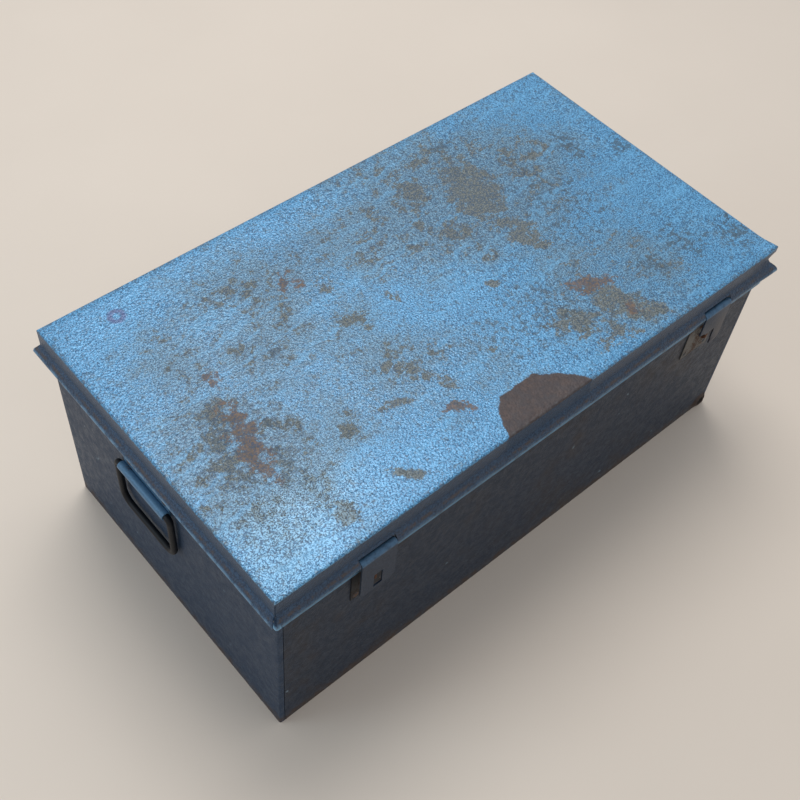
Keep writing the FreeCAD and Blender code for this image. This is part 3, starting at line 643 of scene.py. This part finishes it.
def inside_paint():
    """The inner faces: thin grey-blue primer with rust coming through."""
    tree = Tree("inside_paint")
    coords = tree.coords()
    speckle, height = hammered(tree, coords)
    clouds = tree.noise(coords, 11.0, 6.0, 0.65)
    fleck = tree.noise(coords, 90.0, 5.0, 0.7)
    primer = tree.mix(speckle, (0.055, 0.085, 0.120), (0.120, 0.165, 0.215))
    primer = tree.mix(tree.ramp(clouds, 0.30, 0.65, 0.0, 0.6), primer, (0.105, 0.115, 0.120))
    rust = tree.mix(fleck, (0.080, 0.048, 0.032), (0.190, 0.110, 0.066))
    amount = tree.ramp(tree.plus(clouds, tree.times(fleck, 0.5)), 0.76, 0.92)
    tree.colour(tree.mix(tree.times(amount, 0.8), primer, rust))
    tree.put("Roughness", tree.ramp(amount, 0.0, 1.0, 0.50, 0.75))
    tree.bump(height, 0.0004, 0.4)
    return tree.material


def steel(name, clean, rusty, amount, roughness, metallic):
    """Bare, plated or painted steel with rust; amount is how much of it is rusty."""
    tree = Tree(name)
    coords = tree.coords()
    clouds = tree.noise(coords, 60.0, 6.0, 0.7)
    fleck = tree.noise(coords, 480.0, 4.0, 0.7)
    mask = tree.plus(tree.times(clouds, 0.75), tree.times(fleck, 0.25))
    mask = tree.ramp(mask, 0.72 - 0.45 * amount, 0.84 - 0.45 * amount)
    shade = tree.ramp(fleck, 0.25, 0.75, 0.0, 1.0)
    base = tree.mix(shade, tuple(0.72 * c for c in clean), clean)
    tree.colour(tree.mix(mask, base, tree.mix(shade, tuple(0.55 * c for c in rusty), rusty)))
    tree.put("Metallic", tree.ramp(mask, 0.0, 1.0, metallic, 0.0))
    tree.put("Roughness", tree.ramp(mask, 0.0, 1.0, roughness, 0.80))
    tree.put("Specular IOR Level", 0.3)
    tree.bump(tree.plus(fleck, mask), 0.00025, 0.7)
    return tree.material


def tray_paint():
    """Mid blue enamel, scuffed and spotted with rust, and lost along the tray's top edges."""
    tree = Tree("tray_enamel")
    coords = tree.coords()
    speckle, height = hammered(tree, coords)
    clouds = tree.noise(coords, 18.0, 5.0, 0.6)
    fleck = tree.ramp(tree.noise(coords, 110.0, 6.0, 0.75), 0.36, 0.64)
    low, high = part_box("tray_pan")
    up = tree.axis(coords, "Z")
    colour = tree.mix(speckle, (0.050, 0.105, 0.175), (0.115, 0.200, 0.300))
    colour = tree.mix(tree.ramp(clouds, 0.35, 0.65, 0.0, 0.45), colour, (0.120, 0.135, 0.145))
    wear = tree.ramp(up, high.z - 0.0040, high.z - 0.0005, 0.30, 0.95)
    wear = tree.most(wear, tree.ramp(up, low.z + 0.001, low.z + 0.006, 0.30, 0.20))
    worn = broken(tree, wear, fleck, 1.20)
    rust = tree.mix(fleck, (0.09, 0.07, 0.06), (0.17, 0.12, 0.09))
    tree.colour(tree.mix(tree.times(worn, 0.85), colour, rust))
    tree.put("Roughness", tree.ramp(worn, 0.0, 1.0, 0.42, 0.70))
    tree.put("Specular IOR Level", 0.35)
    tree.bump(height, 0.0004, 0.4)
    return tree.material


def hasp_paint():
    """Slate enamel like the wall's, with a painted blue highlight on the upper part of the curl round the
    wire.
    """
    tree = Tree("hasp_enamel")
    coords = tree.coords()
    speckle, height = hammered(tree, coords)
    fleck = tree.noise(coords, 150.0, 5.0, 0.7)
    colour = side_colour(tree, coords, speckle, fleck, 0.4)
    colour = tree.mix(0.30, colour, tree.mix(speckle, *WALL_BLUE))
    # Painted blue highlight on the upper part of the curl round the wire, broken up by noise
    knuckle_highlight = tree.ramp(tree.axis(coords, "Z"), WIRE_Z - 0.0020, WIRE_Z + 0.0010)
    knuckle_highlight = tree.times(knuckle_highlight, tree.ramp(fleck, 0.30, 0.60, 0.35, 0.90))
    colour = tree.mix(knuckle_highlight, colour, (0.070, 0.155, 0.260))
    tree.colour(colour)
    tree.put("Roughness", 0.45)
    tree.put("Specular IOR Level", 0.3)
    tree.bump(height, 0.0004, 0.4)
    return tree.material


# Steels by use: name, clean colour, rusty colour, share of rust, roughness, metallic
STEELS = {
    # Near-black so that the left hasp's slot reads dark: painted shade on the plate behind the strap
    "plate_left": ("plate_enamel_darkened_as_shade", (0.014, 0.016, 0.020), (0.040, 0.026, 0.019), 0.50, 0.55, 0.1),
    "plate_right": ("bare_plate_steel", (0.120, 0.118, 0.112), (0.085, 0.046, 0.030), 0.55, 0.50, 0.4),
    "wire": ("bare_wire_steel", (0.28, 0.29, 0.30), (0.16, 0.080, 0.040), 0.50, 0.38, 0.9),
    # The staples' own rust, darkened further as painted shade in the slots
    "rusty": ("rusty_staple_steel_in_painted_shade", (0.10, 0.08, 0.07), (0.130, 0.056, 0.030), 0.85, 0.60, 0.3),
    "bail": ("dark_bail_steel", (0.004, 0.005, 0.008), (0.016, 0.012, 0.011), 0.25, 0.50, 0.0),
    # Brighter blue than the walls' enamel: partly the clip's own blue, partly a painted highlight along its
    # lip
    "clip": ("clip_enamel_and_painted_highlight", (0.110, 0.230, 0.370), (0.080, 0.055, 0.042), 0.34, 0.38, 0.15),
    "rivet": ("rivet_steel", (0.075, 0.085, 0.100), (0.150, 0.080, 0.045), 0.50, 0.42, 0.6),
    "zinc": ("zinc_plated_steel", (0.42, 0.43, 0.43), (0.17, 0.10, 0.06), 0.25, 0.36, 0.9),
}


def make_materials():
    """Every material of the tool box by name."""
    paint = {
        "lid_top": lid_top_paint(),
        # The front and rear walls' copy is darker and less blue, and the end walls' copy bluer with a
        # stronger painted swage highlight: partly painted shade on the front and painted light on the ends,
        # partly the walls' own dirt and colour
        "front_wall": body_paint("front_wall_paint", 0.75, 0.15, 0.60),
        "side_wall": body_paint("side_wall_paint", 0.30, 0.75, 1.00),
        "inside": inside_paint(),
        "hasp": hasp_paint(),
        "tray": tray_paint(),
    }
    for name, values in STEELS.items():
        paint[name] = steel(*values)
    return paint


# ---------------------------------------------------------------- sheet metal helpers

def smooth_step(value):
    """0 below 0, 1 above 1, and smooth between."""
    t = min(1.0, max(0.0, value))
    return t * t * (3.0 - 2.0 * t)


def stations(half, spacing, cuts=()):
    """Places along a side from -half to half, about spacing apart, with one at each cut."""
    marks = sorted({-half, half, *cuts})
    places = []
    for start, end in zip(marks, marks[1:]):
        count = max(1, round((end - start) / spacing))
        places += [start + (end - start) * i / count for i in range(count)]
    return places + [half]


def side_point(side, half_depth, along, out, up):
    """A point on a side, from its place along the side, its distance outward and its height."""
    direction, outward = SIDES[side]
    return direction * along + outward * (half_depth + out) + Vector((0, 0, up))


def add_strip(rows, verts, faces, skip=None):
    """Adds rows of points, from the top down, as a strip of faces that look outward."""
    first = len(verts)
    width = len(rows[0])
    for row in rows:
        verts.extend(row)
    for i in range(len(rows) - 1):
        for j in range(width - 1):
            if skip and skip(i, j):
                continue
            top = first + i * width + j
            low = top + width
            faces.append((low, low + 1, top + 1, top))


def sheet_piece(name, verts, faces, dent, outer, inner):
    """A piece of sheet metal: points joined where they meet, dented, and given their thickness."""
    mesh = bpy.data.meshes.new(name)
    mesh.from_pydata([tuple(v) for v in verts], [], faces)
    work = bmesh.new()
    work.from_mesh(mesh)
    bmesh.ops.remove_doubles(work, verts=work.verts, dist=JOIN_DISTANCE)
    for vert in work.verts:
        vert.co += dent(vert.co)
    work.to_mesh(mesh)
    work.free()
    mesh.materials.append(outer)
    mesh.materials.append(inner)
    thick = add_object(name + "_work", mesh)
    solidify = thick.modifiers.new("thickness", "SOLIDIFY")
    solidify.thickness = SHEET
    solidify.offset = -1.0
    solidify.use_even_offset = True
    solidify.material_offset = 1
    solidify.thickness_clamp = 0.0
    return bake(thick, name)


def shade_smooth(mesh, sharp_angle):
    """Smooth shading but for edges sharper than an angle."""
    for polygon in mesh.polygons:
        polygon.use_smooth = True
    mesh.set_sharp_from_angle(angle=sharp_angle)


def bake(source, name):
    """A new smooth object with the source's modifiers applied, in place of the source."""
    shape = source.evaluated_get(bpy.context.evaluated_depsgraph_get())
    mesh = bpy.data.meshes.new_from_object(shape)
    mesh.name = name
    shade_smooth(mesh, SHARP_ANGLE)
    bpy.data.objects.remove(source)
    return add_object(name, mesh)


def soften(piece, width):
    """Rounds a piece's edges."""
    modifier = piece.modifiers.new("edges", "BEVEL")
    modifier.width = width
    modifier.segments = 2
    modifier.limit_method = "ANGLE"
    modifier.angle_limit = math.radians(50)


def finish_piece(piece, body, node):
    """Puts a new piece on its body in place of a CAD node."""
    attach(piece, body)
    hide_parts(node)


# ---------------------------------------------------------------- lid

def notch_range(node, sign):
    """The two ends, along its side, of the notch in the curled edge at a hasp or a hinge."""
    low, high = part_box(node)
    ends = (sign * low.x, sign * high.x)
    return min(ends) - NOTCH_SIDE_GAP, max(ends) + NOTCH_SIDE_GAP


def lid_dent(point):
    """How far years of use have moved a point of the lid."""
    shift = Vector((0, 0, 0))
    wave = noise.noise(Vector((point.x * 7.0, point.y * 9.0, 3.1)))
    flat = smooth_step((LID_X - abs(point.x)) / 0.05) * smooth_step((LID_Y - abs(point.y)) / 0.05)
    if point.z > HEIGHT - TOP_BEND:
        shift.z += LID_SAG * (wave - 1.0) * flat
    corner = Vector((point.x - LID_X, point.y + LID_Y))
    near = smooth_step(1.0 - corner.length / CORNER_REACH)
    high = smooth_step((point.z - HEIGHT + 0.012) / 0.010)
    waist = smooth_step(1.0 - abs(point.z - HEIGHT + 0.016) / 0.012)
    shift.z += CORNER_RISE * near * near * high
    shift += Vector((-0.0035, 0.0030, 0)) * near * waist
    shift += Vector((0.0015, -0.0010, 0)) * near * (1.0 - high) * (1.0 - waist)
    away = min(hasp_distance(point.x, point.y), 1.0)
    edge = smooth_step((HEIGHT - 0.010 - point.z) / 0.010) * away
    ripple = noise.noise(Vector((point.x * 24.0, point.y * 24.0, 7.7)))
    shift.z += LID_RIPPLE * ripple * edge
    return shift


def hasp_distance(x, y):
    """0 at a hasp or a hinge and 1 well away from them, so that their wires stay straight."""
    share = 1.0
    for low, high in PIVOT_BOXES:
        if (low.y < 0) == (y < 0):
            gap = max(low.x - 0.004 - x, x - high.x - 0.004, 0.0)
            share = min(share, smooth_step(gap / 0.040))
    return share


def lid_rows():
    """The lid's outline from its flat top to the end of its curl: (outward, height, seam)."""
    rows = []
    for degrees in (0, 30, 60, 90):
        angle = math.radians(degrees)
        out = -TOP_BEND + TOP_BEND * math.sin(angle)
        rows.append((out, HEIGHT - TOP_BEND + TOP_BEND * math.cos(angle), 0.0))
    for share in (0.25, 0.5, 0.75, 1.0):
        rows.append((0.0, HEIGHT - TOP_BEND - share * (FLARE_DROP - TOP_BEND), LID_SEAM / 2))
    touch_out = WIRE_OUT + CURL_RADIUS * math.cos(FLARE_ANGLE)
    touch_up = WIRE_Z + CURL_RADIUS * math.sin(FLARE_ANGLE)
    notch_share = (FLARE_Z - NOTCH_TOP) / (FLARE_Z - touch_up)
    rows.append((touch_out * notch_share, NOTCH_TOP, RIM_SEAM))
    rows.append((touch_out * (1 + notch_share) / 2, (NOTCH_TOP + touch_up) / 2, RIM_SEAM))
    for step in range(CURL_ROWS + 1):
        angle = FLARE_ANGLE + (CURL_END_ANGLE - FLARE_ANGLE) * step / CURL_ROWS
        out = WIRE_OUT + CURL_RADIUS * math.cos(angle)
        rows.append((out, WIRE_Z + CURL_RADIUS * math.sin(angle), RIM_SEAM))
    return rows


def open_seam(seam):
    """The gap at the left front corner, which has sprung open, in place of a seam."""
    return {0.0: 0.0, LID_SEAM / 2: OPEN_LID_SEAM / 2, RIM_SEAM: OPEN_RIM_SEAM / 2}[seam]


def notch_faces(along, notches, first_row):
    """Says which faces of a side's strip are cut away at its notches."""
    def skip(i, j):
        middle = (along[j] + along[j + 1]) / 2
        return i >= first_row and any(low < middle < high for low, high in notches)

    return skip


def make_lid(paint):
    """The lid's sheet, with its corner knocked up and the wire bared at the hasps and hinges."""
    hasps = [notch_range(node, 1) for node in ("hasp_strap_left", "hasp_strap_right")]
    hinges = [notch_range(node, -1) for node in ("hinge_leaf_left", "hinge_leaf_right")]
    cuts = [x for pair in hasps for x in pair] + [-x for pair in hinges for x in pair]
    xs = stations(LID_X - TOP_BEND, LID_GRID, cuts)
    ys = stations(LID_Y - TOP_BEND, LID_GRID)
    verts, faces = [], []
    top = [[Vector((x, y, HEIGHT)) for x in xs] for y in reversed(ys)]
    add_strip(top, verts, faces)
    rows = lid_rows()
    notch_row = next(i for i, row in enumerate(rows) if abs(row[1] - NOTCH_TOP) < 1e-6)
    back_xs = [-x for x in reversed(xs)]
    back_ys = [-y for y in reversed(ys)]
    places = {"front": xs, "right": ys, "rear": back_xs, "left": back_ys}
    notches = {"front": hasps, "rear": hinges, "left": [], "right": []}
    for side, along in places.items():
        half_length, half_depth = (LID_X, LID_Y) if side in ("front", "rear") else (LID_Y, LID_X)
        points = []
        for out, up, seam in rows:
            start = -(half_length + out - (open_seam(seam) if side == "front" else seam))
            end = half_length + out - (open_seam(seam) if side == "left" else seam)
            line = [start] + along[1:-1] + [end]
            points.append([side_point(side, half_depth, a, out, up) for a in line])
        add_strip(points, verts, faces, notch_faces(along, notches[side], notch_row))
    lid = sheet_piece("lid_sheet", verts, faces, lid_dent, paint["lid_top"], paint["inside"])
    finish_piece(lid, "lid", "lid_shell")


def make_cutter(line, middle, bottom, near_y, far_y):
    """A prism from near_y to far_y, whose outline is a line of points across and up."""
    work = bmesh.new()
    near = [work.verts.new((middle + x, near_y, bottom + up)) for x, up in line]
    far = [work.verts.new((middle + x, far_y, bottom + up)) for x, up in line]
    count = len(line)
    for i in range(count):
        after = (i + 1) % count
        work.faces.new((near[i], near[after], far[after], far[i]))
    work.faces.new(near)
    work.faces.new(far)
    bmesh.ops.recalc_face_normals(work, faces=work.faces)
    mesh = bpy.data.meshes.new("torn_cutter")
    work.to_mesh(mesh)
    work.free()
    return add_object("torn_cutter", mesh)


def make_torn_strap(paint):
    """The right hasp's strap, with the metal left of its slot torn away."""
    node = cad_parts["hasp_strap_right"]
    low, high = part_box("hasp_strap_right")
    past = 0.005
    cutter = make_cutter(TORN_LINE, (low.x + high.x) / 2, low.z, low.y - past, high.y + past)
    strap = add_object("torn_work", node.data.copy())
    cut = strap.modifiers.new("torn", "BOOLEAN")
    cut.operation = "DIFFERENCE"
    cut.solver = "EXACT"
    cut.object = cutter
    soften(strap, STRAP_EDGE_ROUND)
    torn = bake(strap, "hasp_strap_torn")
    bpy.data.objects.remove(cutter)
    torn.data.materials.clear()
    torn.data.materials.append(paint["hasp"])
    for polygon in torn.data.polygons:
        polygon.material_index = 0
    finish_piece(torn, "hasp_right", "hasp_strap_right")


def make_wires(paint):
    """The wires in the lid's edge, bent with it."""
    for side in SIDES:
        node = "lid_wire_" + side
        low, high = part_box(node)
        centre = (low + high) / 2
        size = high - low
        along = Vector((1, 0, 0)) if size.x > size.y else Vector((0, 1, 0))
        across = Vector((-along.y, along.x, 0))
        half = max(size.x, size.y) / 2
        rings = []
        for place in stations(half, LID_GRID):
            ring = []
            for step in range(WIRE_SIDES):
                angle = 2 * math.pi * step / WIRE_SIDES
                offset = across * math.cos(angle) + Vector((0, 0, math.sin(angle)))
                ring.append(centre + along * place + offset * WIRE_RADIUS)
            rings.append(ring)
        mesh = bpy.data.meshes.new(node + "_bent")
        work = bmesh.new()
        made = [[work.verts.new(p + lid_dent(p)) for p in ring] for ring in rings]
        for a, b in zip(made, made[1:]):
            for i in range(WIRE_SIDES):
                after = (i + 1) % WIRE_SIDES
                work.faces.new((a[i], a[after], b[after], b[i]))
        work.faces.new(reversed(made[0]))
        work.faces.new(made[-1])
        bmesh.ops.recalc_face_normals(work, faces=work.faces)
        work.to_mesh(mesh)
        work.free()
        shade_smooth(mesh, WIRE_SHARP_ANGLE)
        mesh.materials.append(paint["wire"])
        wire = add_object(node + "_bent", mesh)
        finish_piece(wire, "lid", node)


# ---------------------------------------------------------------- body

def wall_rows():
    """A wall's line from the end of its hem, over the top and down to the floor: (outward, height)."""
    rows = [(-2 * SHEET, WALL_TOP - HEM_DEPTH), (-2 * SHEET, WALL_TOP - SHEET)]
    for degrees in (135, 90, 45):
        angle = math.radians(degrees)
        rows.append((-SHEET + SHEET * math.cos(angle), WALL_TOP - SHEET + SHEET * math.sin(angle)))
    swage_high = SWAGE_Z + SWAGE_HALF
    rows.append((0.0, WALL_TOP - SHEET))
    rows += [(0.0, WALL_TOP - SHEET - share * (WALL_TOP - SHEET - swage_high)) for share in (0.33, 0.66)]
    radius = (SWAGE_HALF ** 2 + SWAGE_PROUD ** 2) / (2 * SWAGE_PROUD)
    reach = math.asin(SWAGE_HALF / radius)
    for step in range(SWAGE_ROWS + 1):
        angle = reach - 2 * reach * step / SWAGE_ROWS
        rows.append((SWAGE_PROUD - radius + radius * math.cos(angle), SWAGE_Z + radius * math.sin(angle)))
    upper = SWAGE_Z - SWAGE_HALF
    rows += [(0.0, upper + (FINE_HEIGHT - upper) * (step + 1) / WALL_ROWS) for step in range(WALL_ROWS)]
    rows += [(0.0, FINE_HEIGHT * (1 - (step + 1) / FINE_ROWS)) for step in range(FINE_ROWS)]
    return rows


def wall_dent(point):
    """How far years of use have moved a point of a wall."""
    shift = Vector((0, 0, 0))
    ring = smooth_step(1.0 - abs((point - CRUSHED).length - CRUSHED_RADIUS) / CRUSHED_HALF_WIDTH)
    jag = noise.noise(point * 140.0)
    shift += Vector((0.0, -CRUSHED_RISE, 0.0)) * ring * (1.0 + 0.7 * jag)
    wave = noise.noise(point * 9.0 + Vector((1.7, 4.2, 0.6)))
    flat = smooth_step(point.z / 0.04) * smooth_step((SWAGE_Z - SWAGE_HALF - point.z) / 0.03)
    inward = -WALL_HOLLOW * max(0.0, wave) * flat
    if abs(point.y) > BODY_Y - 0.002:
        shift.y += math.copysign(inward, point.y) if point.y > 0 else -inward
    elif abs(point.x) > BODY_X - 0.002:
        shift.x += inward if point.x > 0 else -inward
    return shift


def make_walls(paint):
    """The four walls. The end walls wrap round the corners and lap over the front and rear ones."""
    rows = wall_rows()
    for side in SIDES:
        long_side = side in ("front", "rear")
        half_length, half_depth = (BODY_X, BODY_Y) if long_side else (BODY_Y, BODY_X)
        flat = half_length - CORNER_RADIUS - CORNER_LAP - 2 * CORNER_LAP_GAP - 2 * SHEET
        fine = [flat - FINE_STEP * step for step in range(1, FINE_ROWS + 1)] if side == "front" else []
        along = stations(flat, WALL_GRID, fine)
        points = []
        for out, up in rows:
            if long_side:
                end = half_length + out - CORNER_RADIUS - CORNER_LAP - CORNER_LAP_GAP
                line = [(-end, 0.0)] + [(a, 0.0) for a in along] + [(end, 0.0)]
            else:
                line = [(a, 0.0) for a in along]
                turn = [(half_length + out, CORNER_RADIUS + CORNER_LAP)]
                for degrees in (90, 60, 30, 0):
                    angle = math.radians(degrees)
                    place = half_length + out - CORNER_RADIUS + CORNER_RADIUS * math.sin(angle)
                    turn.append((place, CORNER_RADIUS - CORNER_RADIUS * math.cos(angle)))
                line = [(-a, back) for a, back in turn] + line + list(reversed(turn))
            points.append([side_point(side, half_depth, a, out - back, up) for a, back in line])
        verts, faces = [], []
        add_strip(points, verts, faces)
        outer = paint["front_wall"] if long_side else paint["side_wall"]
        node = "body_" + side + ("_panel" if long_side else "_end")
        wall = sheet_piece(node.replace("body_", "wall_"), verts, faces, wall_dent, outer, paint["inside"])
        finish_piece(wall, "body", node)


# ---------------------------------------------------------------- carried-over CAD pieces

def dress(node, material, bevel=0.0):
    """Gives a CAD node its material, and rounds its edges where bevel is given."""
    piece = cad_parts[node]
    piece.data.materials.clear()
    piece.data.materials.append(material)
    if bevel:
        soften(piece, bevel)


def dress_nodes(paint):
    """Materials for every piece that is shown as CAD made it."""
    for side in ("left", "right"):
        dress("staple_plate_" + side, paint["plate_" + side], EDGE_ROUND)
        dress("staple_" + side, paint["rusty"])
        dress("staple_rivets_" + side, paint["rivet"])
        dress("hinge_leaf_" + side, paint["hasp"], STRAP_EDGE_ROUND)
        dress("hinge_rivets_" + side, paint["rivet"])
        dress("handle_bail_" + side, paint["bail"])
        dress("handle_retainer_" + side, paint["clip"], STRAP_EDGE_ROUND)
        dress("handle_rivets_" + side, paint["rivet"])
    dress("hasp_strap_left", paint["hasp"], STRAP_EDGE_ROUND)
    for node in ("tray_pan", "tray_divider_long", "tray_divider_front", "tray_divider_rear"):
        dress(node, paint["tray"], EDGE_ROUND)
    dress("tray_grip", paint["bail"])
    for node in ("tray_ledge_front", "tray_ledge_rear", "body_floor_panel"):
        dress(node, paint["inside"], EDGE_ROUND)
    for node in ("stay_arm", "stay_bracket", "stay_pivot_rivet", "stay_stud"):
        dress(node, paint["zinc"], EDGE_ROUND)


make_camera()
make_lights()
make_floor()
bpy.context.scene.view_settings.view_transform = "Standard"
materials = make_materials()
make_lid(materials)
make_torn_strap(materials)
make_wires(materials)
make_walls(materials)
dress_nodes(materials)
